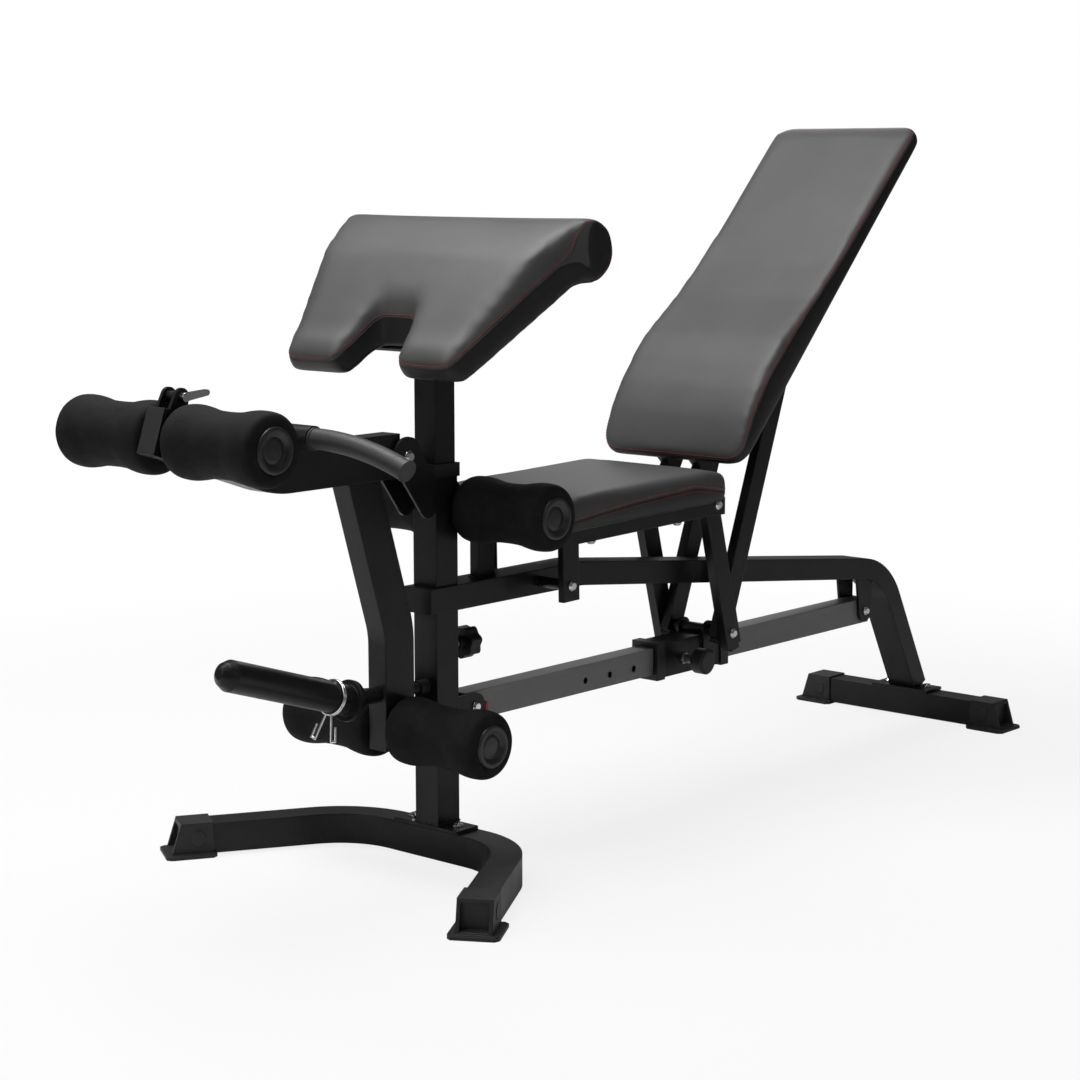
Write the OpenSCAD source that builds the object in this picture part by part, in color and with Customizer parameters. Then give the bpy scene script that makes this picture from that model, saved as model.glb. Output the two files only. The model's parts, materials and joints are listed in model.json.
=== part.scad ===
// Adjustable weight bench with leg developer and preacher pad.
// X runs from the leg developer to the rear foot, Y across, Z up from the floor.
// Side-view points are [x, z] and are measured from the axis of the upright.

/* [Upright and feet] */
// Outer width of the square upright tube
post_w = 50; // [46:1:54]
// Wall of the upright tube
post_wall = 2; // [1.5:0.5:2]
// Height of the top of the upright tube
post_top = 642; // [630:1:646]
// Height and width of the foot tubes
foot_h = 50; // [44:1:54]
// Rubber under the foot tubes
rubber_t = 4; // [3:1:6]
// Distance of the rear foot behind the upright
rear_foot_x = 1393; // [1385:1:1400]
// Half length of the rear foot tube with its caps
rear_foot_half = 224; // [190:1:280]
// Where the legs of the front foot would meet its middle part
foot_corner_y = 171; // [160:1:200]
// Length of each leg of the front foot from that corner
foot_leg = 311; // [280:1:340]
// Angle of those legs from the long axis
foot_splay = 31; // [25:1:38]

/* [Main beam and rail] */
// Height of the beam tube
beam_h = 41; // [38:1:44]
// Width of the beam tube
beam_w = 60; // [56:1:62]
// Height of the beam's axis at the upright
beam_z = 430; // [420:1:435]
// Height of the slide rail's axis
rail_z = 243; // [236:1:250]
// Height of the rail tube
rail_h = 48; // [44:1:50]
// Width of the rail tube
rail_w = 38; // [34:1:42]
// Spacing of the holes in the rail
hole_pitch = 66; // [50:1:66]

/* [Linkage] */
// Front pivot of the seat, from the upright
seat_pivot = [222, 430];
// Pivot between seat and back
back_pivot = [620, 523];
// Pivot of the link apex on the carriage
apex = [685, 281];
// Upper end of the rear links
link_top = [883, 813];
// Angle of the back pad from level
back_angle = 46.1; // [44:0.1:48]
// Width of the link tubes
link_w = 40; // [34:1:42]

/* [Pads] */
// Width of the seat pad
seat_pad_w = 296; // [240:1:330]
// Length of the seat pad
seat_pad_len = 464; // [430:1:470]
// Thickness of the seat pad
seat_pad_t = 61; // [45:1:66]
// Width of the back pad
back_pad_w = 318; // [260:1:340]
// Width of the preacher pad at its upper edge
preacher_w = 530; // [440:1:560]
// Radius of the roll along the preacher pad's upper edge
roll_r = 50; // [40:1:52]

/* [Leg developer] */
// Pivot of the lever
lever_pivot = [-88, 667];
// Height of the lever tube
arm_h = 70; // [60:1:72]
// Width of the lever tubes
arm_w = 38; // [34:1:40]
// Depth of the tube that hangs from the lever
drop_d = 64; // [54:1:66]
// Upper foam rollers' axis
upper_bar = [-538, 730];
// Lower foam rollers' axis
lower_bar = [-98, 234];
// Thigh rollers' axis
thigh_bar_at = [52, 571];
// Radius of the foam rollers
roller_r = 54; // [46:1:54]
// Outer end of the rollers, from the middle
roller_out = 211; // [190:1:240]
// Radius of the bars in the rollers
bar_r = 12.5; // [10:0.5:12.5]
// Radius of the weight horn
horn_r = 24.5; // [22:0.5:25]
// Length of the weight horn
horn_len = 281; // [230:1:300]
// Upward tilt of the weight horn
horn_tilt = 17.8; // [10:0.1:20]

/* [Hidden] */
$fn = 64;
eps = 0.01;
fit = 0.05;
plate_t = 6;
tube_t = 2.5;
foot_top = rubber_t + foot_h;
post_z = foot_top + plate_t;
foot_mid_x = -3;
cap_len = 55;
cap_t = 3;
flange_out = 12;
x_min = upper_bar[0] - roller_r;
x_max = rear_foot_x + foot_h / 2 + cap_t + flange_out;
mid_x = (x_min + x_max) / 2;
// side layers of the linkage, as distances from the middle plane
tubes_in = 26;
tubes_out = 45;
rear_link_in = 46.5;
rear_link_out = 64.5;
front_link_in = 66;
front_link_out = 84;
rail_in = 85.5;
rail_out = 97;
bolt_r = 5;
// back pad frame: origin on the pad's rear face, s along the pad, d out of its face
back_o = [697, 672];
back_u = [cos(back_angle), sin(back_angle)];
back_n = [-sin(back_angle), cos(back_angle)];
arm_path = [[-577, 745.5], [-355, 668.5], [-98, 668.5]];
drop_path = [[-190, 676.5], [-103.5, 392], [-103.5, 202]];
beam_path = [[-43, beam_z], [330, beam_z], [1264, 320.5], [rear_foot_x + 9, foot_top + plate_t]];
horn_at = [-196, 292];
clip_at = 38;
curl_at = [-330, 719];
curl_r = 530;
curl_turn = 20;
curl_start = 75;
lock_at = [-535, 792];
post_pin_z = 347;
carriage_pin_x = 615;
foot_in = arm_w / 2 + 4;
preacher_post_w = 45;

function unit(v) = v / norm(v);
function turn_of(a, b, c) = let(u = b - a, v = c - b) atan2(u[0] * v[1] - u[1] * v[0], u * v);
function heading(a, b) = atan2(b[1] - a[1], b[0] - a[0]);
function cut_back(r, turn) = r * tan(abs(turn) / 2);
function back_at(s, d) = back_o + s * back_u + d * back_n;

module place() translate([-mid_x, 0, 0]) children();
module side() rotate([90, 0, 0]) children();
module pair() { children(); mirror([0, 1, 0]) children(); }
// plates on both sides, between two distances from the middle plane
module layer(y0, y1) translate([0, -y0, 0]) side() linear_extrude(y1 - y0) children();
module layers(y0, y1) pair() layer(y0, y1) children();
module mid_layer(w) translate([0, w / 2, 0]) side() linear_extrude(w) children();
// a cylinder along Y at a side-view point
module along_y(p, r, y0, y1) translate([p[0], y0, p[1]]) rotate([-90, 0, 0]) cylinder(r = r, h = y1 - y0);
module bars(p, r, y0, y1) pair() along_y(p, r, y0, y1);

// straight bar between two points of a plane
module strip(a, b, h, e0 = 0, e1 = 0)
    translate(a) rotate(heading(a, b)) translate([-e0, -h / 2]) square([norm(b - a) + e0 + e1, h]);
// two circles joined by their outer tangents
module capsule(a, ra, b, rb) {
    d = norm(b - a);
    h = heading(a, b);
    k = acos((ra - rb) / d);
    translate(a) circle(ra);
    translate(b) circle(rb);
    polygon([a + ra * [cos(h + k), sin(h + k)], b + rb * [cos(h + k), sin(h + k)],
        b + rb * [cos(h - k), sin(h - k)], a + ra * [cos(h - k), sin(h - k)]]);
}
// points along one side of a bent path, at a distance to its left
function side_of(a, b) = let(u = unit(b - a)) [-u[1], u[0]];
function bend_points(a, b, c, r, off, n = 16) =
    let(t = turn_of(a, b, c), s = sign(t), h = heading(a, b),
        ctr = b - cut_back(r, t) * unit(b - a) + s * r * [-sin(h), cos(h)])
    [for (i = [0:n]) ctr + (r - s * off) * [cos(h - s * 90 + t * i / n), sin(h - s * 90 + t * i / n)]];
function path_side(p, r, off, ends) = let(m = len(p) - 1) [
    p[0] - ends * unit(p[1] - p[0]) + off * side_of(p[0], p[1]),
    for (i = [1:m - 1]) each bend_points(p[i - 1], p[i], p[i + 1], r, off),
    p[m] + ends * unit(p[m] - p[m - 1]) + off * side_of(p[m - 1], p[m])];
function backwards(v) = [for (i = [len(v) - 1:-1:0]) v[i]];
// solid bar of h by w along a bent path in the XY plane, centred on z = 0
module path_bar(p, r, h, w, ends = 0)
    linear_extrude(w, center = true)
        polygon(concat(path_side(p, r, h / 2, ends), backwards(path_side(p, r, -h / 2, ends))));
module path_tube(p, r, h, w, t, ends = 1)
    difference() {
        path_bar(p, r, h, w);
        path_bar(p, r, h - 2 * t, w - 2 * t, ends);
    }
// button-head bolt along -Y from a face, with its head outside
module bolt_head(p, y, r, h) translate([p[0], -y, p[1]]) rotate([90, 0, 0]) {
    cylinder(r = r, h = h * 0.35);
    translate([0, 0, h * 0.35]) cylinder(r1 = r, r2 = r * 0.62, h = h * 0.65);
}
module nut(p, y, r, h) translate([p[0], y, p[1]]) rotate([-90, 0, 0]) cylinder(r = r, h = h, $fn = 6);

// front foot
foot_dir = [-cos(foot_splay), -sin(foot_splay)];
foot_corner = [foot_mid_x, -foot_corner_y];
foot_end = foot_corner + (foot_leg - 8) * foot_dir;
module front_foot() color("#1b1b1c") place()
    translate([0, 0, rubber_t + foot_h / 2])
        path_tube([[foot_end[0], -foot_end[1]], [foot_corner[0], -foot_corner[1]], foot_corner, foot_end],
            150, foot_h, foot_h, tube_t);

// rubber cap, along +X from the joint with the tube
module foot_cap() {
    in_w = foot_h + 2 * cap_t;
    top = foot_top + cap_t;
    difference() {
        union() {
            translate([0, in_w / 2, 0]) side() linear_extrude(in_w)
                polygon([[0, 0], [0, top], [cap_len - 2, top], [cap_len + 14, 6], [cap_len + 14, 0]]);
            // flange with round corners
            translate([2, -in_w / 2 - 12, 0]) cube([cap_len + 10, in_w + 24, 6]);
            translate([-4, -in_w / 2 - 6, 0]) cube([cap_len + 22 + 6, in_w + 12, 6]);
            for (y = [-1, 1]) {
                translate([cap_len + 12, y * in_w / 2, 0]) cylinder(r = 12, h = 6);
                translate([8, y * in_w / 2, 0]) cylinder(r = 12, h = 6);
                translate([26, y * in_w / 2, foot_top / 2 + 4]) rotate([90, 0, 0])
                    cylinder(r = 13, h = 2.4, center = true);
            }
        }
        // pocket for the tube
        translate([-20, -foot_h / 2, rubber_t]) cube([20 + cap_len - 8, foot_h, foot_h]);
        // hollow in the end face
        translate([cap_len - 4, -foot_h / 2 + 3, 9]) cube([30, foot_h - 6, foot_h - 9]);
    }
}
module front_foot_caps() color("#161616") place()
    pair() translate([foot_corner[0], foot_corner[1], 0]) rotate(180 + foot_splay)
        translate([foot_leg - cap_len, 0, 0]) foot_cap();

module rear_foot() color("#1b1b1c") place()
    translate([rear_foot_x - foot_h / 2, -rear_foot_half + 8, rubber_t]) difference() {
        cube([foot_h, 2 * rear_foot_half - 16, foot_h]);
        translate([tube_t, -1, tube_t]) cube([foot_h - 2 * tube_t, 2 * rear_foot_half, foot_h - 2 * tube_t]);
    }
module rear_foot_caps() color("#161616") place()
    pair() translate([rear_foot_x, -rear_foot_half + cap_len, 0]) rotate(-90) foot_cap();

// upright with its foot plate
foot_bolt_y = 48;
module upright() color("#1d1d1e") place() difference() {
    union() {
        translate([-post_w / 2, -post_w / 2, post_z]) cube([post_w, post_w, post_top - post_z]);
        translate([-29, -70, foot_top]) cube([50, 140, plate_t]);
    }
    translate([-post_w / 2 + post_wall, -post_w / 2 + post_wall, post_z])
        cube([post_w - 2 * post_wall, post_w - 2 * post_wall, post_top]);
    for (y = [-foot_bolt_y, foot_bolt_y]) translate([-4, y, foot_top - 1]) cylinder(r = bolt_r, h = 20);
    translate([0, 0, post_pin_z]) rotate([0, 90, 0]) cylinder(r = 6, h = 40);
}
module upright_collar() color("#141414") place() difference() {
    translate([-post_w / 2 - 3, -post_w / 2 - 3, post_top - 16]) cube([post_w + 6, post_w + 6, 22]);
    translate([-post_w / 2, -post_w / 2, post_top - 17]) cube([post_w, post_w, 17]);
    inner = preacher_post_w + 0.7;
    translate([-inner / 2, -inner / 2, post_top - 1]) cube([inner, inner, 20]);
}
module foot_bolts() color("#c9c9c9") place() {
    for (y = [-foot_bolt_y, foot_bolt_y]) translate([-4, y, 0]) stud(foot_top + plate_t);
    for (y = [-46, 46]) translate([rear_foot_x + 9, y, 0]) stud(foot_top + plate_t);
}
// bolt in a foot plate
module stud(top) {
    translate([0, 0, top]) cylinder(r = 9, h = 2.5);
    translate([0, 0, top + 2.5]) cylinder(r1 = 9, r2 = 5.5, h = 4);
    translate([0, 0, top - plate_t]) cylinder(r = bolt_r, h = plate_t + 1);
}

// main beam, bent at both ends of its slope
module main_beam() color("#1b1b1c") place() difference() {
    union() {
        side() path_tube(beam_path, 140, beam_h, beam_w, tube_t, 0);
        translate([beam_path[0][0], -beam_w / 2 + 1, beam_z - beam_h / 2 + 1])
            cube([3, beam_w - 2, beam_h - 2]);
    }
    translate([-post_w / 2, -post_w / 2, beam_z - 60]) cube([post_w, post_w, 120]);
    along_y(seat_pivot, bolt_r, -60, 60);
    translate([rear_foot_x - 60, -60, foot_top - 30]) cube([160, 120, plate_t + 30]);
}
module beam_plate() color("#1b1b1c") place() difference() {
    translate([rear_foot_x - 25, -66, foot_top]) cube([56, 132, plate_t]);
    for (y = [-46, 46]) translate([rear_foot_x + 9, y, foot_top - 1]) cylinder(r = bolt_r, h = 20);
}

// ears that carry the leg developer
module pivot_ears() color("#1d1d1e") place() layers(22, 27) difference() {
    union() {
        capsule(lever_pivot, 31, [-43, 583], 18);
        polygon([[-88, 667], [-58, 667], [-27, 632], [-post_w / 2, 626], [-post_w / 2, 574], [-60, 574]]);
    }
    translate([-post_w / 2, 400]) square([100, 400]);
    translate([-post_w / 2 - 3.3, post_top - 16.4]) square([60, 60]);
    translate(lever_pivot) circle(6);
}
module pivot_bolt() color("#c9c9c9") place() {
    along_y(lever_pivot, 6, -27.1, 38);
    bolt_head(lever_pivot, 27, 10, 7);
    nut(lever_pivot, 27, 10, 8);
}

// slide rail with its end ears
rail_front = [66, rail_z];
rail_rear = [1202, rail_z];
module slide_rail() color("#8b8b8a") place() difference() {
    translate([rail_front[0] - 20, -rail_w / 2, rail_z - rail_h / 2])
        cube([rail_rear[0] - rail_front[0] + 38, rail_w, rail_h]);
    translate([rail_front[0] - 30, -rail_w / 2 + 2, rail_z - rail_h / 2 + 2])
        cube([rail_rear[0] - rail_front[0] + 60, rail_w - 4, rail_h - 4]);
    along_y(rail_front, bolt_r, -60, 60);
    along_y(rail_rear, bolt_r, -60, 60);
    for (i = [-4:2]) along_y([carriage_pin_x + i * hole_pitch, rail_z - 4], 5.5, -60, 0);
}
module rail_ears() color("#1b1b1c") place() {
    layers(rail_w / 2 + 1, rail_w / 2 + 6) difference() {
        union() {
            translate(rail_front) circle(22);
            translate([post_w / 2, rail_z - 22]) square([rail_front[0] - post_w / 2, 44]);
        }
        translate(rail_front) circle(bolt_r);
    }
    layers(rail_w / 2 + 1, rail_w / 2 + 6) difference() {
        union() {
            translate(rail_rear) circle(21);
            polygon([rail_rear + [-21, 0], rail_rear + [21, 0], rail_rear + [21, 90], rail_rear + [-34, 90]]);
        }
        translate(rail_rear) circle(bolt_r);
        offset_beam();
    }
}
// side view of the beam, to cut the ears to its underside
module offset_beam() {
    a = beam_path[1];
    b = beam_path[2];
    c = beam_path[3];
    strip(a, b, beam_h, 0, -64);
    turn = turn_of(a, b, c);
    h = heading(a, b);
    start = b - cut_back(140, turn) * unit(b - a);
    ctr = start + 140 * [sin(h), -cos(h)];
    difference() {
        translate(ctr) circle(140 + 60);
        translate(ctr) circle(140 - beam_h / 2);
        translate(ctr - [300, 400]) square([600, 400]);
    }
}
module rail_bolts() color("#c9c9c9") place() for (p = [rail_front, rail_rear]) {
    along_y(p, bolt_r, -rail_w / 2 - 6.1, rail_w / 2 + 16);
    bolt_head(p, rail_w / 2 + 6, 9, 6);
    nut(p, rail_w / 2 + 6, 9, 8);
}
module rail_stop() color("#b5281f") place()
    layers(rail_w / 2, rail_w / 2 + 4) translate([92, rail_z - 12]) square([6, 14]);

// stand behind the upright for the thigh rollers
module roller_stand() color("#1b1b1c") place() difference() {
    union() {
        translate([91, -9, beam_z + beam_h / 2]) cube([38, 18, 594 - beam_z - beam_h / 2]);
        mid_layer(18) union() {
            translate(thigh_bar_at) circle(21);
            translate([thigh_bar_at[0], thigh_bar_at[1] - 21]) square([60, 44]);
        }
    }
    along_y(thigh_bar_at, bar_r, -40, 40);
    translate([93.5, -6.5, beam_z]) cube([33, 13, 545 - beam_z]);
}
module roller_bar(p) difference() {
    along_y(p, bar_r, -roller_out + 6.5, roller_out - 6.5);
    along_y(p, bar_r - 2, -roller_out, roller_out);
}
module thigh_bar() color("#1b1b1c") place() roller_bar(thigh_bar_at);

module seat_pivot_spacers() color("#1b1b1c") place()
    layers(beam_w / 2, rail_in - 0.3) difference() {
        translate(seat_pivot) circle(9);
        translate(seat_pivot) circle(bolt_r);
    }
module seat_pivot_bolt() color("#c9c9c9") place() {
    along_y(seat_pivot, bolt_r, -rail_out - 0.4, rail_out + 10);
    bolt_head(seat_pivot, rail_out + 0.3, 9, 6);
    nut(seat_pivot, rail_out + 0.3, 9, 8);
}

// spring pin of the upright, along +X
module post_pin_housing() color("#9a9a9a") place() translate([post_w / 2, 0, post_pin_z]) rotate([0, 90, 0])
    difference() {
        union() {
            cylinder(r = 11, h = 5, $fn = 6);
            cylinder(r = 8, h = 22);
        }
        translate([0, 0, -1]) cylinder(r = 4.05, h = 40);
    }
module star_knob(r, h) {
    linear_extrude(h) polygon([for (i = [0:4:356]) r * (0.93 + 0.07 * cos(7 * i)) * [cos(i), sin(i)]]);
    translate([0, 0, h - 0.5]) cylinder(r1 = r * 0.7, r2 = r * 0.5, h = 3.5);
}
module post_pin() color("#151515") place() translate([post_w / 2, 0, post_pin_z]) rotate([0, 90, 0]) {
    translate([0, 0, -1.6]) cylinder(r = 4, h = 36);
    translate([0, 0, 22.4]) cylinder(r = 11, h = 10);
    translate([0, 0, 32]) star_knob(27, 24);
}

// carriage on the rail
sleeve_w = rail_w + 14;
sleeve_h = rail_h + 14;
sleeve_x0 = 545;
sleeve_x1 = 738;
module carriage() color("#1b1b1c") place() difference() {
    union() {
        difference() {
            translate([sleeve_x0, -sleeve_w / 2, rail_z - sleeve_h / 2])
                cube([sleeve_x1 - sleeve_x0, sleeve_w, sleeve_h]);
            translate([sleeve_x0 - 1, -sleeve_w / 2 + 3, rail_z - sleeve_h / 2 + 3])
                cube([sleeve_x1 - sleeve_x0 + 2, sleeve_w - 6, sleeve_h - 6]);
        }
        layers(sleeve_w / 2, sleeve_w / 2 + 5) union() {
            translate(apex) circle(17);
            translate([apex[0] - 17, rail_z - 10]) square([34, apex[1] - rail_z + 10]);
        }
        difference() {
            along_y(apex, 10, -rear_link_in + 0.5, rear_link_in - 0.5);
            translate([600, -60, rail_z - sleeve_h / 2]) cube([200, 120, sleeve_h - 1]);
        }
    }
    along_y(apex, bolt_r + 0.5, -60, 60);
    along_y([carriage_pin_x, rail_z - 4], 6, -60, 0);
}
module carriage_collars() color("#141414") place() for (x = [sleeve_x0 - 8, sleeve_x1 - 14])
    translate([x, 0, rail_z]) difference() {
        translate([0, -sleeve_w / 2 - 3, -sleeve_h / 2 - 3]) cube([22, sleeve_w + 6, sleeve_h + 6]);
        translate([-1, -rail_w / 2 - 0.4, -rail_h / 2 - 0.4]) cube([40, rail_w + 0.8, rail_h + 0.8]);
        x0 = x < 600 ? 8 : -20;
        difference() {
            translate([x0, -sleeve_w / 2, -sleeve_h / 2]) cube([34, sleeve_w, sleeve_h]);
            translate([x0 - 1, -sleeve_w / 2 + 3, -sleeve_h / 2 + 3]) cube([38, sleeve_w - 6, sleeve_h - 6]);
        }
    }
module carriage_pin_housing() color("#9a9a9a") place()
    translate([carriage_pin_x, -sleeve_w / 2, rail_z - 4]) rotate([90, 0, 0]) difference() {
        union() {
            cylinder(r = 11, h = 5, $fn = 6);
            cylinder(r = 8, h = 24);
        }
        translate([0, 0, -1]) cylinder(r = 4.05, h = 40);
    }
module carriage_pin() color("#151515") place()
    translate([carriage_pin_x, -sleeve_w / 2, rail_z - 4]) rotate([90, 0, 0]) {
        translate([0, 0, -6.6]) cylinder(r = 4, h = 38);
        translate([0, 0, 24.4]) cylinder(r = 11, h = 10);
        translate([0, 0, 34]) cylinder(r = 23, h = 20);
        translate([0, 0, 54]) cylinder(r1 = 23, r2 = 18, h = 4);
    }

// links between the carriage, the seat and the back
module link(a, b, e0, e1, y0, y1) layers(y0, y1) difference() {
    union() {
        strip(a, b, link_w, e0 - 8, e1);
        strip(a, b, link_w - 16, e0, 0);
    }
    translate(a) circle(bolt_r);
    translate(b) circle(y0 == front_link_in ? bolt_r + fit : bolt_r);
}
module front_links() color("#1b1b1c") place() link(apex, back_pivot, 32, 9, front_link_in, front_link_out);
module rear_links() color("#1b1b1c") place() {
    link(apex, link_top, 22, 20, rear_link_in, rear_link_out);
    // washers between the links
    for (p = [apex]) layers(rear_link_out, front_link_in) difference() {
        translate(p) circle(11);
        translate(p) circle(bolt_r);
    }
}
module apex_bolts() color("#c9c9c9") place() pair() {
    along_y(apex, bolt_r, -front_link_out - 0.1, -rear_link_in);
    bolt_head(apex, front_link_out, 9, 6);
}
module link_top_bolts() color("#c9c9c9") place() pair() {
    along_y(link_top, bolt_r, -rear_link_out - 0.1, -rear_link_in);
    bolt_head(link_top, rear_link_out, 9, 6);
}

// seat frame, tilted a little about its front pivot
seat_rise = 1.2;
module seat_local() translate([seat_pivot[0], 0, seat_pivot[1]]) rotate([0, -seat_rise, 0]) children();
rail_low = 67;
pad_bolt_y = (rail_in + rail_out) / 2;
seat_rail_h = 30;
module seat_frame() color("#1b1b1c") place() difference() {
    union() {
        seat_local() {
            layers(rail_in, rail_out) union() {
                translate([-22, rail_low]) square([415, seat_rail_h]);
                translate([-20, -26]) square([40, 100]);
            }
            for (x = [76, 316]) translate([x, -rail_in - 1, rail_low + 0.1]) cube([30, 2 * rail_in + 2, seat_rail_h - 0.4]);
        }
        layers(rail_in, rail_out) translate([back_pivot[0] - 20, back_pivot[1] - 19]) square([41, 31]);
        // inner lugs that hold the axle of the back
        layers(tubes_in - 7, tubes_in - 1) union() {
            translate(back_pivot) circle(13);
            strip(seat_pivot + [330, 88], back_pivot, 22);
        }
    }
    along_y(seat_pivot, bolt_r + fit, -120, 120);
    along_y(back_pivot, bolt_r, -120, 120);
    seat_local() for (x = [58, 290]) for (y = [-pad_bolt_y, pad_bolt_y])
        translate([x, y, rail_low - 1]) cylinder(r = 4, h = 40);
}
seat_x0 = -85;
pad_low = rail_low + seat_rail_h;
module seat_pad() color("#303032") place() seat_local() intersection() {
    mid_layer(seat_pad_w) polygon([[seat_x0 + 6, pad_low], [seat_x0, pad_low + 14], [seat_x0 + 4, pad_low + 36],
        [seat_x0 + 22, pad_low + 52], [seat_x0 + 60, pad_low + seat_pad_t - 2],
        [seat_x0 + 110, pad_low + seat_pad_t], [seat_x0 + seat_pad_len - 60, pad_low + seat_pad_t],
        [seat_x0 + seat_pad_len - 20, pad_low + seat_pad_t - 8], [seat_x0 + seat_pad_len, pad_low + 36],
        [seat_x0 + seat_pad_len, pad_low + 10], [seat_x0 + seat_pad_len - 6, pad_low]]);
    rounded_block(seat_x0, seat_x0 + seat_pad_len, seat_pad_w / 2, 34, pad_low - 1, 100);
}
// block with round vertical corners
module rounded_block(x0, x1, half, r, z0, h) translate([0, 0, z0]) linear_extrude(h) union() {
    translate([x0 + r, -half]) square([x1 - x0 - 2 * r, 2 * half]);
    translate([x0, -half + r]) square([x1 - x0, 2 * half - 2 * r]);
    for (x = [x0 + r, x1 - r]) for (y = [-half + r, half - r]) translate([x, y]) circle(r);
}
module seat_pad_bolts() color("#c9c9c9") place() seat_local() for (x = [58, 290]) for (y = [-pad_bolt_y, pad_bolt_y])
    translate([x, y, 0]) {
        translate([0, 0, rail_low - 5]) cylinder(r1 = 5, r2 = 8, h = 3);
        translate([0, 0, rail_low - 2]) cylinder(r = 8, h = 2);
        translate([0, 0, rail_low - 0.5]) cylinder(r = 4, h = seat_rail_h + 0.4);
    }
// short bolts in the seat rails, and the inner axle that the back turns on
module back_pivot_bolts() color("#c9c9c9") place() {
    pair() {
        along_y(back_pivot, bolt_r, -rail_out - 0.1, -rail_in);
        bolt_head(back_pivot, rail_out, 9, 6);
    }
    along_y(back_pivot, bolt_r, -tubes_out - 0.7, tubes_out + 0.7);
}

// back frame: two tubes behind the pad, with ears at the pivot
back_s0 = -104;
back_s1 = 560;
frame_d = 36;
module back_strip(s0, s1, d0, d1)
    polygon([back_at(s0, d0), back_at(s1, d0), back_at(s1, d1), back_at(s0, d1)]);
module back_frame() color("#1b1b1c") place() difference() {
    union() {
        layers(tubes_in, tubes_out) back_strip(back_s0, back_s1, -frame_d, 0);
        layers(tubes_in, tubes_out) capsule(back_pivot, 18, back_at(-44, -19), 17);
        for (s = [20, 470]) mid_layer(2 * tubes_in) back_strip(s, s + 38, -frame_d + 2, -2);
        layers(tubes_in, tubes_out) capsule(link_top, 17, link_top + [1, 1], 17);
    }
    bars(back_pivot, bolt_r + fit, 15, 70);
    along_y(link_top, bolt_r, -60, 60);
    pair() layer(tubes_in + 2, tubes_out - 2) difference() {
        back_strip(back_s0 + 3, back_s1 - 3, -frame_d + 2, -2);
        translate(link_top) circle(16);
    }
}
pad_s0 = -116;
pad_s1 = 690;
module back_pad() color("#303032") place() intersection() {
    mid_layer(back_pad_w) polygon([for (q = [[pad_s0 + 6, 0.2], [pad_s0, 12], [pad_s0 + 8, 26],
        [-80, 40], [-40, 56], [10, 67], [70, 73], [125, 72], [180, 62], [235, 52], [320, 44], [450, 40],
        [610, 39], [660, 38], [pad_s1 - 8, 32], [pad_s1, 20], [pad_s1 - 4, 0.2]]) back_at(q[0], q[1])]);
    translate([back_o[0], 0, back_o[1]]) rotate([0, -back_angle, 0])
        rounded_block(pad_s0, pad_s1, back_pad_w / 2, 36, -5, 90);
}
module back_pad_bolts() color("#c9c9c9") place()
    translate([back_o[0], 0, back_o[1]]) rotate([0, -back_angle, 0])
        for (s = [60, 420]) for (y = [-30, 30]) translate([s, y, -frame_d]) mirror([0, 0, 1]) {
            cylinder(r = 8, h = 2);
            translate([0, 0, 2]) cylinder(r1 = 8, r2 = 5, h = 3);
        }

// leg developer lever
module lever_arm() color("#1d1d1e") place() difference() {
    union() {
        difference() {
            side() path_bar(arm_path, 150, arm_h, arm_w);
            side() path_bar(arm_path, 150, arm_h - 5, arm_w - 5, -1);
        }
        along_y(lever_pivot, 22, -21.6, 21.6);
    }
    along_y(lever_pivot, 6 + fit, -60, 60);
    along_y(upper_bar, bar_r, -60, 60);
    along_y(curl_at, 19, -60, 60);
}
module lever_drop_tube() color("#1d1d1e") place() difference() {
    side() path_tube(drop_path, 150, drop_d, arm_w, tube_t, -3);
    translate([-400, -50, 668.5 - arm_h / 2]) cube([500, 100, 200]);
    along_y(lower_bar, bar_r, -60, 60);
}
module arm_end_cap() color("#121212") place() {
    d = unit(arm_path[0] - arm_path[1]);
    side() translate([arm_path[0][0], arm_path[0][1], 0]) rotate(atan2(d[1], d[0]))
        translate([0.05, -arm_h / 2 + 0.5, -arm_w / 2 + 0.5]) cube([4, arm_h - 1, arm_w - 1]);
}
module upper_roller_bar() color("#1b1b1c") place() roller_bar(upper_bar);
module lower_roller_bar() color("#1b1b1c") place() roller_bar(lower_bar);
module lever_bumper() color("#111111") place() translate([-103.5 + drop_d / 2, 0, 288]) rotate([0, 90, 0]) {
    cylinder(r = 8, h = 26);
    translate([0, 0, 26]) cylinder(r = 12, h = 103.5 - drop_d / 2 - post_w / 2 - 26 - 0.3);
}

// weight horn: bar, flange and sleeve
module horn_local() translate([horn_at[0], 0, horn_at[1]]) rotate([0, -90 + horn_tilt, 0]) children();
module weight_horn() color("#1b1b1c") place() {
    difference() {
        translate([horn_at[0] - 2, 0, horn_at[1]]) rotate([0, 90, 0])
            cylinder(r = bar_r, h = -103.5 - drop_d / 2 - horn_at[0] + 2);
        horn_local() translate([0, 0, -0.01]) cylinder(r = 60, h = 40);
    }
    horn_local() {
        cylinder(r = 33, h = 8);
        cylinder(r = horn_r, h = horn_len - 20);
        translate([0, 0, horn_len - 20]) cylinder(r1 = horn_r, r2 = horn_r - 6, h = 12);
        translate([0, 0, horn_len - 8]) cylinder(r1 = horn_r - 6, r2 = horn_r - 16, h = 8);
    }
}
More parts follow.
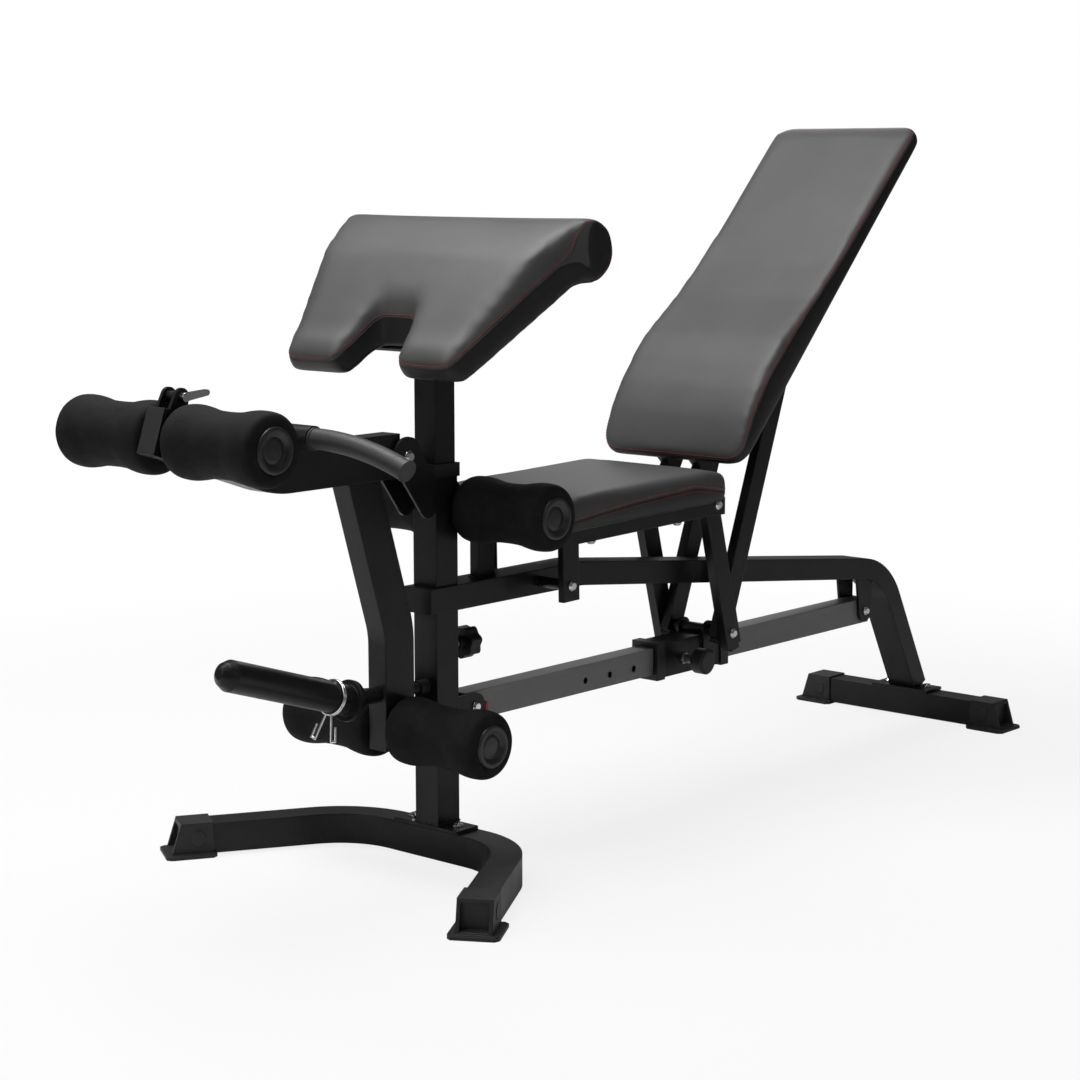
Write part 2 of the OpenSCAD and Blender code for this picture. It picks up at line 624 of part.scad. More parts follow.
// spring clip: two turns of wire and two finger loops
wire_r = 2;
module spring_clip() color("#d6d6d6") place() horn_local() translate([0, 0, clip_at]) {
    for (z = [0, 3.4]) translate([0, 0, z])
        rotate_extrude() translate([horn_r + 0.35 + wire_r, 0]) circle(wire_r, $fn = 24);
    for (s = [-1, 1]) rotate(-90 + s * 16) translate([0, -horn_r - wire_r, 1.7 + 1.7 * s]) {
        rotate([90, 0, 0]) cylinder(r = wire_r, h = 44);
        translate([0, -44, 0]) sphere(wire_r);
        translate([0, -44, 0]) rotate([0, 90 * s, 0]) cylinder(r = wire_r, h = 9);
        translate([9 * s, -44, 0]) sphere(wire_r);
        translate([9 * s, -44, 0]) rotate([-90, 0, 0]) cylinder(r = wire_r, h = 22);
    }
}

// ears, bolt and locking lever on the front end of the lever
module lock_ears() color("#1b1b1c") place() {
    layers(11, 16) difference() {
        capsule(lock_at, 13, lock_at - [8, 24], 17);
        translate(lock_at) circle(bolt_r);
        translate(arm_path[0]) rotate(heading(arm_path[0], arm_path[1])) translate([-60, -100])
            square([200, 100 + arm_h / 2]);
    }
    mid_layer(21.9) difference() {
        translate(lock_at) circle(8);
        translate(lock_at) circle(bolt_r);
    }
}
module lock_bolt() color("#d0d0d0") place() {
    along_y(lock_at, bolt_r, -16, 24);
    nut(lock_at, 16, 8, 5);
}
module lock_lever() color("#d0d0d0") place() {
    along_y(lock_at, 7, -26, -16.3);
    layer(17, 25) capsule(lock_at, 6, lock_at + [40, 4], 4.5);
}

// curl bar across the lever
module curl_sleeve() color("#1d1d1e") place() difference() {
    along_y(curl_at, 19, -70, 70);
    along_y(curl_at, bar_r + fit, -80, 80);
}
module curl_arc(r_out, r_in) pair()
    translate([curl_at[0], -curl_start, curl_at[1] - curl_r]) rotate([0, -90, 0])
        rotate([0, 0, -curl_turn]) rotate_extrude(angle = curl_turn) translate([curl_r, 0]) difference() {
            circle(r_out);
            circle(r_in);
        }
module curl_bar() color("#222223") place() {
    along_y(curl_at, bar_r, -curl_start, curl_start);
    // the bent ends start a little way inside the straight part
    pair() translate([curl_at[0], -curl_start, curl_at[1] - curl_r]) rotate([0, -90, 0])
        rotate([0, 0, -curl_turn]) rotate_extrude(angle = curl_turn + 1) translate([curl_r, 0])
            circle(bar_r - 0.3);
}
module curl_grips() color("#161616") place() {
    curl_arc(16, bar_r);
    // end caps
    pair() translate([curl_at[0], -curl_start, curl_at[1] - curl_r]) rotate([curl_turn, 0, 0])
        translate([0, 0, curl_r]) rotate([90, 0, 0]) cylinder(r = 17, h = 4);
    pair() difference() {
        along_y(curl_at, 17, -curl_start + 0.3, -curl_start + 4.5);
        along_y(curl_at, bar_r + 0.1, -curl_start - 1, -curl_start + 6);
    }
}

// foam rollers and their end caps
module foam(p, y0) pair() translate([p[0], -y0, p[1]]) rotate([90, 0, 0]) {
    len = roller_out - y0;
    r = roller_r;
    rotate_extrude() polygon([[bar_r + 0.3, 0], [r - 14, 0], [r - 3, 7], [r, 22], [r - 3, len * 0.32],
        [r - 6, len / 2], [r - 3, len * 0.68], [r, len - 22], [r - 3, len - 7], [r - 14, len],
        [34.2, len], [34.2, len - 6], [bar_r + 0.3, len - 6]]);
}
module roller_cap(p) pair() translate([p[0], -roller_out + 6, p[1]]) rotate([90, 0, 0])
    rotate_extrude() polygon([[0, 0], [34, 0], [34, 6], [31, 9], [25, 9], [19, 5], [18, 3.5], [0, 3.5]]);
module upper_rollers() color("#0f0f10") place() foam(upper_bar, foot_in);
module upper_roller_caps() color("#1c1c1c") place() roller_cap(upper_bar);
module lower_rollers() color("#0f0f10") place() foam(lower_bar, foot_in);
module lower_roller_caps() color("#1c1c1c") place() roller_cap(lower_bar);
module thigh_rollers() color("#0f0f10") place() foam(thigh_bar_at, post_w / 2 + 3.4);
module thigh_roller_caps() color("#1c1c1c") place() roller_cap(thigh_bar_at);

// preacher pad on its post; the pad's underside runs between two points
under_a = [-124, 790];
under_b = [58, 934];
under_dir = unit(under_b - under_a);
under_n = [-under_dir[1], under_dir[0]];
post_low = 300;
module preacher_post() color("#1d1d1e") place() difference() {
    w = preacher_post_w;
    translate([-w / 2, -w / 2, post_low]) cube([w, w, 640]);
    translate([-w / 2 + 2, -w / 2 + 2, post_low - 1]) cube([w - 4, w - 4, 700]);
    // cut to the bracket
    mid_layer(200) polygon([under_a - 6 * under_n - 60 * under_dir, under_b - 6 * under_n + 200 * under_dir,
        under_b + 400 * under_n + 200 * under_dir, under_a + 400 * under_n - 60 * under_dir]);
    for (i = [-1:3]) translate([0, 0, post_pin_z - i * 40]) rotate([0, 90, 0]) cylinder(r = 5, h = 60);
}
module preacher_bracket() color("#1d1d1e") place() mid_layer(150) {
    m = (under_a + under_b) / 2 + 14 * under_dir;
    polygon([m - 62 * under_dir - 6 * under_n, m + 62 * under_dir - 6 * under_n,
        m + 62 * under_dir, m - 62 * under_dir]);
}
roll_at = [80, 986];
module preacher_pad() color("#303032") place() difference() {
    intersection() {
        mid_layer(preacher_w) union() {
            translate(roll_at) circle(roll_r);
            polygon([under_a + 0.2 * under_n, under_a + [-18, 6], under_a + [-34, 24], under_a + [-30, 44],
                [-124, 860], [-60, 936], [-20, 982], [30, 1016], [68, roll_at[1] + roll_r - 1],
                roll_at, roll_at + [12, -roll_r + 2], under_b + 0.2 * under_n]);
        }
        // plan view: narrow lower edge, wide upper edge
        translate([0, 0, 700]) linear_extrude(400) polygon([[-180, -138], [-166, -168], [-140, -184],
            [20, -preacher_w / 2 + 22], [86, -preacher_w / 2], [160, -preacher_w / 2], [160, preacher_w / 2],
            [86, preacher_w / 2], [20, preacher_w / 2 - 22], [-140, 184], [-166, 168], [-180, 138]]);
    }
    // notch for the lever
    translate([0, 0, 700]) linear_extrude(400) union() {
        polygon([[-220, -84], [-176, -78], [-150, -66], [-96, -48], [-96, 48], [-150, 66], [-176, 78], [-220, 84]]);
        translate([-96, -30]) circle(18);
        translate([-96, 30]) circle(18);
        translate([-97, -30]) square([19, 60]);
    }
}

front_foot();
front_foot_caps();
rear_foot();
rear_foot_caps();
upright();
upright_collar();
main_beam();
beam_plate();
foot_bolts();
pivot_ears();
pivot_bolt();
slide_rail();
rail_ears();
rail_bolts();
rail_stop();
roller_stand();
thigh_bar();
seat_pivot_spacers();
seat_pivot_bolt();
post_pin_housing();
post_pin();
carriage();
carriage_collars();
carriage_pin_housing();
carriage_pin();
front_links();
rear_links();
apex_bolts();
link_top_bolts();
seat_frame();
seat_pad();
seat_pad_bolts();
back_pivot_bolts();
back_frame();
back_pad();
back_pad_bolts();
lever_arm();
lever_drop_tube();
arm_end_cap();
upper_roller_bar();
lower_roller_bar();
lever_bumper();
weight_horn();
spring_clip();
lock_ears();
lock_bolt();
lock_lever();
curl_sleeve();
curl_bar();
curl_grips();
upper_rollers();
upper_roller_caps();
lower_rollers();
lower_roller_caps();
thigh_rollers();
thigh_roller_caps();
preacher_post();
preacher_bracket();
preacher_pad();
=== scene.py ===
import json
import math
import bpy
from mathutils import Matrix, Vector, noise
from mathutils.bvhtree import BVHTree


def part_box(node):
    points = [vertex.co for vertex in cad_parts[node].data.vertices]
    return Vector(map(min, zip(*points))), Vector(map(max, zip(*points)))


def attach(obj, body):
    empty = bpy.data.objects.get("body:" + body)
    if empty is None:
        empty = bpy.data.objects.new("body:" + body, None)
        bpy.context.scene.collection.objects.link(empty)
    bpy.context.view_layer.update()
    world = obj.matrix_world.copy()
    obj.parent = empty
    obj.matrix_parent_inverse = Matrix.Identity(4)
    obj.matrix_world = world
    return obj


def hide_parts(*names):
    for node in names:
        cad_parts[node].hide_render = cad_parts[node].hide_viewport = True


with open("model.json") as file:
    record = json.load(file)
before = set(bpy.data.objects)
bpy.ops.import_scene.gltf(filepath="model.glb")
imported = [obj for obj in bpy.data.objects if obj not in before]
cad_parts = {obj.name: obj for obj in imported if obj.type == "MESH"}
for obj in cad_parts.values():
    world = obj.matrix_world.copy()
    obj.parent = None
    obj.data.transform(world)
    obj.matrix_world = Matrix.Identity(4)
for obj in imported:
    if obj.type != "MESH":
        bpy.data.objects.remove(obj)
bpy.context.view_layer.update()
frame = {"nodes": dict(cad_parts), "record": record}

nodes = frame["nodes"]
postX = (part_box("upright_collar")[0].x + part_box("upright_collar")[1].x) / 2  # axis of the upright
print("frame loaded", len(nodes), "nodes")


# a socket that takes part in sums
class Signal:
    def __init__(self, tree, socket):
        self.tree = tree
        self.socket = socket

    def sum(self, how, other, flip=False):
        n = self.tree.nodes.new("ShaderNodeMath")
        n.operation = how
        pair = (other, self) if flip else (self, other)
        for i, v in enumerate(pair):
            if isinstance(v, Signal):
                self.tree.links.new(v.socket, n.inputs[i])
            else:
                n.inputs[i].default_value = v
        return Signal(self.tree, n.outputs[0])

    def __add__(self, v): return self.sum("ADD", v)
    def __radd__(self, v): return self.sum("ADD", v, True)
    def __sub__(self, v): return self.sum("SUBTRACT", v)
    def __rsub__(self, v): return self.sum("SUBTRACT", v, True)
    def __mul__(self, v): return self.sum("MULTIPLY", v)
    def __rmul__(self, v): return self.sum("MULTIPLY", v, True)
    def __truediv__(self, v): return self.sum("DIVIDE", v)
    def __pow__(self, v): return self.sum("POWER", v)
    def over(self, v): return self.sum("GREATER_THAN", v)
    def size(self): return self.sum("ABSOLUTE", 0.0)


# a material under construction
class Finish:
    def __init__(self, name):
        self.material = bpy.data.materials.new(name)
        self.material.use_nodes = True
        self.tree = self.material.node_tree
        self.shader = self.tree.nodes["Principled BSDF"]
        self.place = self.add("ShaderNodeTexCoord", out="Object")

    def add(self, kind, settings=None, sockets=None, out=0):
        n = self.tree.nodes.new(kind)
        for key, v in (settings or {}).items():
            if key == "stops":
                ramp = n.color_ramp
                while len(ramp.elements) < len(v):
                    ramp.elements.new(0.5)
                for e, (at, shade) in zip(ramp.elements, v):
                    e.position = at
                    e.color = (*shade, 1) if isinstance(shade, tuple) else (shade, shade, shade, 1)
            else:
                setattr(n, key, v)
        for key, v in (sockets or {}).items():
            self.join(v, n.inputs[key])
        return Signal(self.tree, n.outputs[out])

    def join(self, v, socket):
        if isinstance(v, Signal):
            self.tree.links.new(v.socket, socket)
        elif isinstance(v, tuple) and len(v) == 3 and len(socket.default_value) == 4:
            socket.default_value = (*v, 1)
        else:
            socket.default_value = v

    def grain(self, scale, detail=2.0, rough=0.5, stretch=(1, 1, 1)):
        where = self.place
        if stretch != (1, 1, 1):
            where = self.add("ShaderNodeMapping", sockets={"Vector": self.place, "Scale": stretch})
        return self.add("ShaderNodeTexNoise", sockets={"Vector": where, "Scale": scale, "Detail": detail,
                                                       "Roughness": rough})

    def cells(self, scale):
        return self.add("ShaderNodeTexVoronoi", sockets={"Vector": self.place, "Scale": scale})

    def blend(self, factor, a, b):
        n = self.tree.nodes.new("ShaderNodeMix")
        n.data_type = "RGBA"
        self.join(factor, n.inputs[0])
        self.join(a, n.inputs[6])
        self.join(b, n.inputs[7])
        return Signal(self.tree, n.outputs[2])

    def ramp(self, value, low, high):
        return self.add("ShaderNodeMapRange", {"clamp": True}, {"Value": value, "From Min": low, "From Max": high})

    def bump(self, height, depth, strength=1.0, under=None):
        sockets = {"Height": height, "Distance": depth, "Strength": strength}
        if under:
            sockets["Normal"] = under
        return self.add("ShaderNodeBump", sockets=sockets)

    def edge(self, radius):
        return self.add("ShaderNodeBevel", {"samples": 6}, {"Radius": radius})

    def put(self, **inputs):
        for key, v in inputs.items():
            name = {"color": "Base Color", "rough": "Roughness", "metal": "Metallic", "normal": "Normal",
                    "gloss": "Specular IOR Level", "coat": "Coat Weight", "coatRough": "Coat Roughness",
                    "sheen": "Sheen Weight", "sheenRough": "Sheen Roughness"}[key]
            self.join(v, self.shader.inputs[name])
        return self.material


# black powder coat, with a fine orange peel
def powderCoat(name, look):
    f = Finish(name)
    tone = f.grain(14, 4, 0.6)
    dust = f.ramp(f.grain(90, 5, 0.7), 0.62, 0.9) * look["dust"]
    shade = f.blend(f.ramp(tone, 0.3, 0.7), look["dark"], look["light"])
    shade = f.blend(dust, shade, (0.09, 0.09, 0.09))
    peel = f.grain(750, 2, 0.5) * 0.7 + f.grain(190, 1) * 0.3
    return f.put(color=shade, rough=look["rough"] + f.grain(30, 3) * 0.12, gloss=look["gloss"],
                 normal=f.bump(peel, 0.00035, 0.55, f.edge(look["edge"])))


frameLook = {"dark": (0.0065, 0.0065, 0.007), "light": (0.0105, 0.0105, 0.011), "rough": 0.27, "gloss": 0.26,
             "edge": 0.0028, "dust": 0.25}
frameBlack = powderCoat("frame_powder_coat", frameLook)
plateBlack = powderCoat("plate_powder_coat", dict(frameLook, edge=0.0012))


def railGrey():
    f = Finish("rail_satin_grey")
    drawn = f.grain(60, 4, 0.6, (0.4, 14, 14))
    rub = f.ramp(f.grain(9, 3, 0.6, (0.6, 4, 4)), 0.45, 0.75)
    shade = f.blend(drawn, (0.15, 0.149, 0.147), (0.205, 0.204, 0.2))
    return f.put(color=f.blend(rub * 0.4, shade, (0.22, 0.22, 0.215)), metal=0.35, rough=0.36 + drawn * 0.12,
                 normal=f.bump(drawn, 0.0001, 0.5, f.edge(0.0022)))


def chrome():
    f = Finish("bright_chrome")
    return f.put(color=f.blend(f.grain(120, 3), (0.62, 0.62, 0.63), (0.78, 0.78, 0.78)), metal=1.0,
                 rough=0.13 + f.grain(240, 3) * 0.1, normal=f.edge(0.0008))


def zinc():
    f = Finish("dull_zinc")
    return f.put(color=f.blend(f.grain(200, 3), (0.33, 0.33, 0.34), (0.48, 0.48, 0.48)), metal=0.9,
                 rough=0.32 + f.grain(300, 3) * 0.15, normal=f.edge(0.0008))


# moulded plastic and rubber
def moulded(name, dark, light, rough, pits, edge, gloss=0.4):
    f = Finish(name)
    texture = f.grain(pits, 3, 0.6)
    return f.put(color=f.blend(f.grain(25, 4), dark, light), rough=rough + texture * 0.15, gloss=gloss,
                 normal=f.bump(texture, 0.0003, 0.5, f.edge(edge)))


blackPlastic = moulded("moulded_plastic", (0.008, 0.008, 0.0085), (0.013, 0.013, 0.0135), 0.34, 900, 0.002)
footRubber = moulded("foot_rubber", (0.010, 0.010, 0.0105), (0.016, 0.016, 0.0165), 0.45, 500, 0.0022)
redPlastic = moulded("red_plastic", (0.42, 0.016, 0.012), (0.5, 0.025, 0.02), 0.35, 500, 0.001)
capPlastic = moulded("roller_cap_plastic", (0.011, 0.011, 0.0115), (0.017, 0.017, 0.0175), 0.27, 1300, 0.001, 0.45)


def gripRubber():
    f = Finish("grip_rubber")
    rings = f.add("ShaderNodeTexWave", {"wave_type": "BANDS", "bands_direction": "Y"},
                  {"Vector": f.place, "Scale": 55, "Distortion": 0.0})
    return f.put(color=(0.014, 0.014, 0.0145), rough=0.45 + f.grain(300, 3) * 0.2,
                 normal=f.bump(rings * 0.6 + f.grain(700, 2) * 0.4, 0.0003, 0.5))


def foamSkin():
    f = Finish("closed_cell_foam")
    blotch = f.grain(38, 5, 0.65)
    pores = f.cells(420)
    shade = f.blend(f.ramp(blotch, 0.3, 0.72), (0.004, 0.004, 0.0042), (0.0115, 0.0115, 0.012))
    # the pits of the pores are painted darker: painted shade in the pits
    shade = f.blend(f.ramp(pores, 0.0, 0.35), (0.0035, 0.0035, 0.0035), shade)
    return f.put(color=shade, rough=0.72 + blotch * 0.16, gloss=0.16,
                 normal=f.bump(pores * 0.5 + blotch * 0.7, 0.0006, 0.55))


# imitation leather: the seam attribute is the height over the seam, so the panel under it is painted darker, as painted
# shade on the pad's sides
def padLeather(name, look):
    f = Finish(name)
    above = f.add("ShaderNodeAttribute", {"attribute_name": "seam"}, out="Fac")
    top = f.ramp(above, -0.0004, 0.0004)
    pebble = f.cells(look["pebble"])
    fine = f.grain(look["pebble"] * 2.2, 3, 0.6)
    cloud = f.grain(7, 4, 0.55)
    face = f.blend(f.ramp(cloud, 0.3, 0.7), look["face"], look["faceWornAndLitRidge"])
    # the pebble's raised edges lean toward the lighter colour and its pits stay darker: painted light on the ridges and
    # painted shade in the pits
    face = f.blend(f.ramp(pebble, 0.1, 0.5) * 0.25, face, look["faceWornAndLitRidge"])
    # the side colour under the seam is painted shade, much darker than the face
    shade = f.blend(top, look["side"], face)
    # thread holes and the pull of the thread close to the seam
    near = 1 - f.ramp(above.size(), 0.0, 0.012)
    pull = f.grain(1, 2, 0.5, look["pull"]) * near
    height = pebble * 0.35 + fine * 0.25 + pull * look["pucker"] - near ** 6 * 1.4
    return f.put(color=shade, rough=look["rough"] + fine * 0.14, gloss=look["gloss"],
                 normal=f.bump(height, 0.0009, 0.5))


# side is a painted shade colour for the pads' side panels
leatherLook = {"face": (0.043, 0.043, 0.044), "faceWornAndLitRidge": (0.060, 0.060, 0.061), "side": (0.0065, 0.0065, 0.007),
               "pebble": 620, "rough": 0.42, "gloss": 0.36, "pull": (70, 70, 70), "pucker": 0.8}
backLeather = padLeather("back_leather", leatherLook)
seatLeather = padLeather("seat_leather", leatherLook)
preacherLeather = padLeather("preacher_leather", dict(leatherLook, pull=(55, 30, 55), pucker=2.2))


def threadRed():
    f = Finish("dark_red_thread")
    twist = f.grain(1400, 2)
    return f.put(color=f.blend(twist, (0.17, 0.012, 0.012), (0.28, 0.03, 0.028)), rough=0.7,
                 normal=f.bump(twist, 0.0002, 0.5))


redThread = threadRed()
weltBlack = moulded("welt_leather", (0.02, 0.02, 0.02), (0.032, 0.032, 0.033), 0.45, 700, 0.0008)
print("finishes made")

# finishes of the frame's own pieces
slotFinish = {"frame_black": frameBlack, "rail_grey": railGrey(), "chrome": chrome(), "zinc": zinc(),
              "rubber": footRubber, "black_plastic": blackPlastic, "red_plastic": redPlastic,
              "pad_cover": backLeather, "foam": foamSkin()}
ownFinish = {"curl_grips": gripRubber(), "pivot_ears": plateBlack, "rail_ears": plateBlack,
             "beam_plate": plateBlack, "lock_ears": plateBlack, "seat_pivot_spacers": plateBlack}
slotOf = {s["node"]: s["material_slot"] for s in frame["record"]["subparts"]}
for name, piece in nodes.items():
    finish = ownFinish.get(name) or slotFinish[slotOf[name]]
    if not piece.material_slots:
        piece.data.materials.append(finish)
    for s in piece.material_slots:
        s.material = finish
print("frame painted")


# plain mesh tools
def newPiece(name, points, faces, finish, body, smooth=True):
    mesh = bpy.data.meshes.new(name)
    mesh.from_pydata([tuple(p) for p in points], [], faces)
    mesh.validate()
    mesh.polygons.foreach_set("use_smooth", [smooth] * len(mesh.polygons))
    piece = bpy.data.objects.new(name, mesh)
    bpy.context.scene.collection.objects.link(piece)
    mesh.materials.append(finish)
    if body:
        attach(piece, body)
    return piece


def settle(piece):
    # applies the modifiers into a mesh of its own
    bpy.context.view_layer.update()
    graph = bpy.context.evaluated_depsgraph_get()
    done = bpy.data.meshes.new_from_object(piece.evaluated_get(graph))
    piece.modifiers.clear()
    piece.data = done
    return piece


def softCurve(points, steps):
    # a smooth run through the points
    out = []
    n = len(points)
    for i in range(n - 1):
        a, b = points[max(i - 1, 0)], points[i]
        c, d = points[i + 1], points[min(i + 2, n - 1)]
        for k in range(steps):
            t = k / steps
            out.append(tuple(0.5 * (2 * q + (r - p) * t + (2 * p - 5 * q + 4 * r - s) * t * t
                                    + (3 * q - p - 3 * r + s) * t ** 3) for p, q, r, s in zip(a, b, c, d)))
    out.append(tuple(points[-1]))
    return out


def between(table, x):
    # value of a table of (x, y) pairs
    if x <= table[0][0]:
        return table[0][1]
    for (x0, y0), (x1, y1) in zip(table, table[1:]):
        if x <= x1:
            return y0 + (y1 - y0) * (x - x0) / (x1 - x0)
    return table[-1][1]


def tube(path, radius, sides=10, closed=True):
    # points and faces of a round tube along a path
    points, faces = [], []
    n = len(path)
    up = None
    for i, p in enumerate(path):
        ahead = path[(i + 1) % n] if closed or i < n - 1 else p
        back = path[i - 1] if closed or i > 0 else p
        along = (ahead - back).normalized()
        if up is None:
            up = along.orthogonal().normalized()
        up = (up - along * up.dot(along)).normalized()
        across = along.cross(up)
        r = radius(i) if callable(radius) else radius
        for k in range(sides):
            a = 2 * math.pi * k / sides
            points.append(p + (up * math.cos(a) + across * math.sin(a)) * r)
    for i in range(n if closed else n - 1):
        j = (i + 1) % n
        for k in range(sides):
            m = (k + 1) % sides
            faces.append((i * sides + k, i * sides + m, j * sides + m, j * sides + k))
    if not closed:
        faces.append(tuple(range(sides))[::-1])
        faces.append(tuple((n - 1) * sides + k for k in range(sides)))
    return points, faces


def even(path, gap, closed=True):
    # the same path at even steps
    run = list(path) + ([path[0]] if closed else [])
    out, left = [run[0]], gap
    for a, b in zip(run, run[1:]):
        d = (b - a).length
        at = 0.0
        while d - at >= left:
            at += left
            out.append(a.lerp(b, at / d))
            left = gap
        left -= d - at
    if closed and (out[-1] - out[0]).length < gap * 0.5:
        out.pop()
    return out


# foam rollers
rollerLook = {"radius": 0.054, "waist": 0.0062, "turns": 112, "wobble": 0.00035}


def roller(name, node, capNode, side, body):
    low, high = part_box(node)
    cx, cz = (low.x + high.x) / 2, (low.z + high.z) / 2
    inner, outer = (0.0, high.y)
    inner = min(abs(v.co.y) for v in nodes[node].data.vertices)
    length = outer - inner
    r, w = rollerLook["radius"], rollerLook["waist"]
    edge = [(0.0, 0.0132), (0.0, r - 0.018), (0.0012, r - 0.011), (0.0045, r - 0.0045), (0.011, r - 0.0012),
            (0.022, r), (0.034, r - 0.0002), (0.048, r - w * 0.35), (0.066, r - w * 0.85), (length / 2, r - w)]
    shape = edge + [(length - a, b) for a, b in reversed(edge[:-1])]
    shape = shape[:-1] + [(length, 0.0343), (length - 0.006, 0.0343), (length - 0.006, 0.0132)]
    fine = [shape[0]] + softCurve(shape[1:-3], 5) + shape[-3:]
    turns = rollerLook["turns"]
    points, faces = [], []
    for a, b in fine:
        for k in range(turns):
            t = 2 * math.pi * k / turns
            q = Vector((math.cos(t) * 3, a * 24, math.sin(t) * 3 + side * 5 + cx * 7))
            rr = b + (rollerLook["wobble"] * noise.noise(q) if b > 0.036 else 0)
            points.append((cx + rr * math.cos(t), side * (inner + a), cz + rr * math.sin(t)))
    rows = len(fine)
    for i in range(rows - 1):
        for k in range(turns):
            m = (k + 1) % turns
            quad = (i * turns + k, i * turns + m, (i + 1) * turns + m, (i + 1) * turns + k)
            faces.append(quad if side > 0 else quad[::-1])
    foam = newPiece(name, points, faces, slotFinish["foam"], body)
    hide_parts(node)
    # cap, with its ring and recessed middle
    capShape = [(length - 0.0055, 0.0339), (length - 0.001, 0.0341), (length + 0.0006, 0.0338), (length + 0.0028, 0.0322),
                (length + 0.003, 0.0300), (length + 0.003, 0.0268), (length + 0.0024, 0.0252), (length - 0.001, 0.0226),
                (length - 0.0026, 0.0200), (length - 0.003, 0.0184), (length - 0.0024, 0.0178), (length - 0.0026, 0.0120),
                (length - 0.0018, 0.0030), (length - 0.0018, 0.0004)]
    points, faces = [], []
    for a, b in capShape:
        for k in range(96):
            t = 2 * math.pi * k / 96
            points.append((cx + b * math.cos(t), side * (inner + a), cz + b * math.sin(t)))
    for i in range(len(capShape) - 1):
        for k in range(96):
            m = (k + 1) % 96
            quad = (i * 96 + k, i * 96 + m, (i + 1) * 96 + m, (i + 1) * 96 + k)
            faces.append(quad if side > 0 else quad[::-1])
    last = (len(capShape) - 1) * 96
    faces.append(tuple(last + k for k in range(96)) if side > 0 else tuple(last + k for k in range(96))[::-1])
    cap = newPiece(name + "_cap", points, faces, capPlastic, body)
    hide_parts(capNode)


for group in ("upper", "lower", "thigh"):
    for side, word in ((-1, "near"), (1, "far")):
        roller(f"{group}_foam_{word}", f"{group}_rollers", f"{group}_roller_caps", side, f"{group}_rollers")
print("rollers made")


# pads: each works in its own frame, s along it, d out of its face
class PadFrame:
    def __init__(self, origin, angle):
        a = math.radians(angle)
        u, n = Vector((math.cos(a), 0, math.sin(a))), Vector((-math.sin(a), 0, math.cos(a)))
        self.out = Matrix(((u.x, 0, n.x, origin[0]), (0, 1, 0, 0), (u.z, 0, n.z, origin[1]), (0, 0, 0, 1)))
        self.into = self.out.inverted()


def inflate(piece, look):
    # cloth under pressure, with how far a point may move capped, and the underside held
    start = [v.co.copy() for v in piece.data.vertices]
    cloth = piece.modifiers.new("swell", "CLOTH")
    s = cloth.settings
    s.quality = 4
    s.mass = 0.3
    s.use_pressure = True
    s.uniform_pressure_force = look["pressure"]
    s.tension_stiffness = s.compression_stiffness = 40
    s.shear_stiffness = 20
    s.bending_stiffness = 8
    s.effector_weights.gravity = 0
    cloth.collision_settings.use_collision = False
    scene = bpy.context.scene
    for t in range(1, look["frames"] + 1):
        scene.frame_set(t)
    graph = bpy.context.evaluated_depsgraph_get()
    grown = piece.evaluated_get(graph).data
    moved = [v.co.copy() for v in grown.vertices]
    piece.modifiers.clear()
    scene.frame_set(1)
    for v, a, b in zip(piece.data.vertices, start, moved):
        d = b - a
        hold = min(1.0, max(0.0, (a.z - look["held"]) / 0.012))
        if d.length > look["cap"]:
            d = d.normalized() * look["cap"]
        v.co = a + d * hold
    return piece


def padBody(name, node, space, look, body, leather, seamAt, outline):
    source = nodes[node]
    mesh = source.data.copy()
    mesh.transform(space.into)
    piece = bpy.data.objects.new(name, mesh)
    bpy.context.scene.collection.objects.link(piece)
    m = piece.modifiers.new("even", "REMESH")
    m.mode = "VOXEL"
    m.voxel_size = look["voxel"]
    m.use_smooth_shade = True
    m = piece.modifiers.new("round", "SMOOTH")
    m.factor = 0.5
    m.iterations = look["round"]
    settle(piece)
    inflate(piece, look)
    m = piece.modifiers.new("calm", "SMOOTH")
    m.factor = 0.5
    m.iterations = 14
    m = piece.modifiers.new("fine", "SUBSURF")
    m.levels = m.render_levels = 1
    settle(piece)
    data = piece.data
    # keep it inside its solid's own thickness
    mark = data.attributes.new("seam", "FLOAT", "POINT")
    mark.data.foreach_set("value", [seamAt(v.co) for v in data.vertices])
    tree = BVHTree.FromPolygons([v.co.copy() for v in data.vertices], [tuple(p.vertices) for p in data.polygons])
    # welt and the rows of thread that follow the skin
    path = []
    for p in even([Vector(q) for q in outline], 0.004):
        hit, normal, index, far = tree.find_nearest(p)
        path.append((hit, normal))
    for i in range(3):
        path = [((path[k - 1][0] + path[k][0] * 2 + path[(k + 1) % len(path)][0]) / 4, path[k][1])
                for k in range(len(path))]
    extra = []
    line = [hit - normal * 0.0002 for hit, normal in path]
    points, faces = tube(line, look["welt"], 8)
    extra.append((f"{name}_welt", points, faces, weltBlack))
    for row, lift in enumerate(look["rows"]):
        stitches, quads = [], []
        run = [(hit + Vector((0, 0, lift)), normal) for hit, normal in path]
        run = [tree.find_nearest(p)[:2] for p, normal in run]
        seam = even([hit + normal * look["thread"] * 0.25 for hit, normal in run], 0.0011)
        for k in range(0, len(seam) - 4, 5):
            pts, fcs = tube(seam[k:k + 4], look["thread"], 6, closed=False)
            base = len(stitches)
            stitches += pts
            quads += [tuple(base + v for v in f) for f in fcs]
        extra.append((f"{name}_stitches_{row}", stitches, quads, redThread))
    data.transform(space.out)
    data.materials.clear()
    data.materials.append(leather)
    data.polygons.foreach_set("use_smooth", [True] * len(data.polygons))
    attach(piece, body)
    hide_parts(node)
    for label, points, faces, finish in extra:
        newPiece(label, [space.out @ p for p in points], faces, finish, body)
    print(name, "done", len(data.polygons), "faces")
    return piece


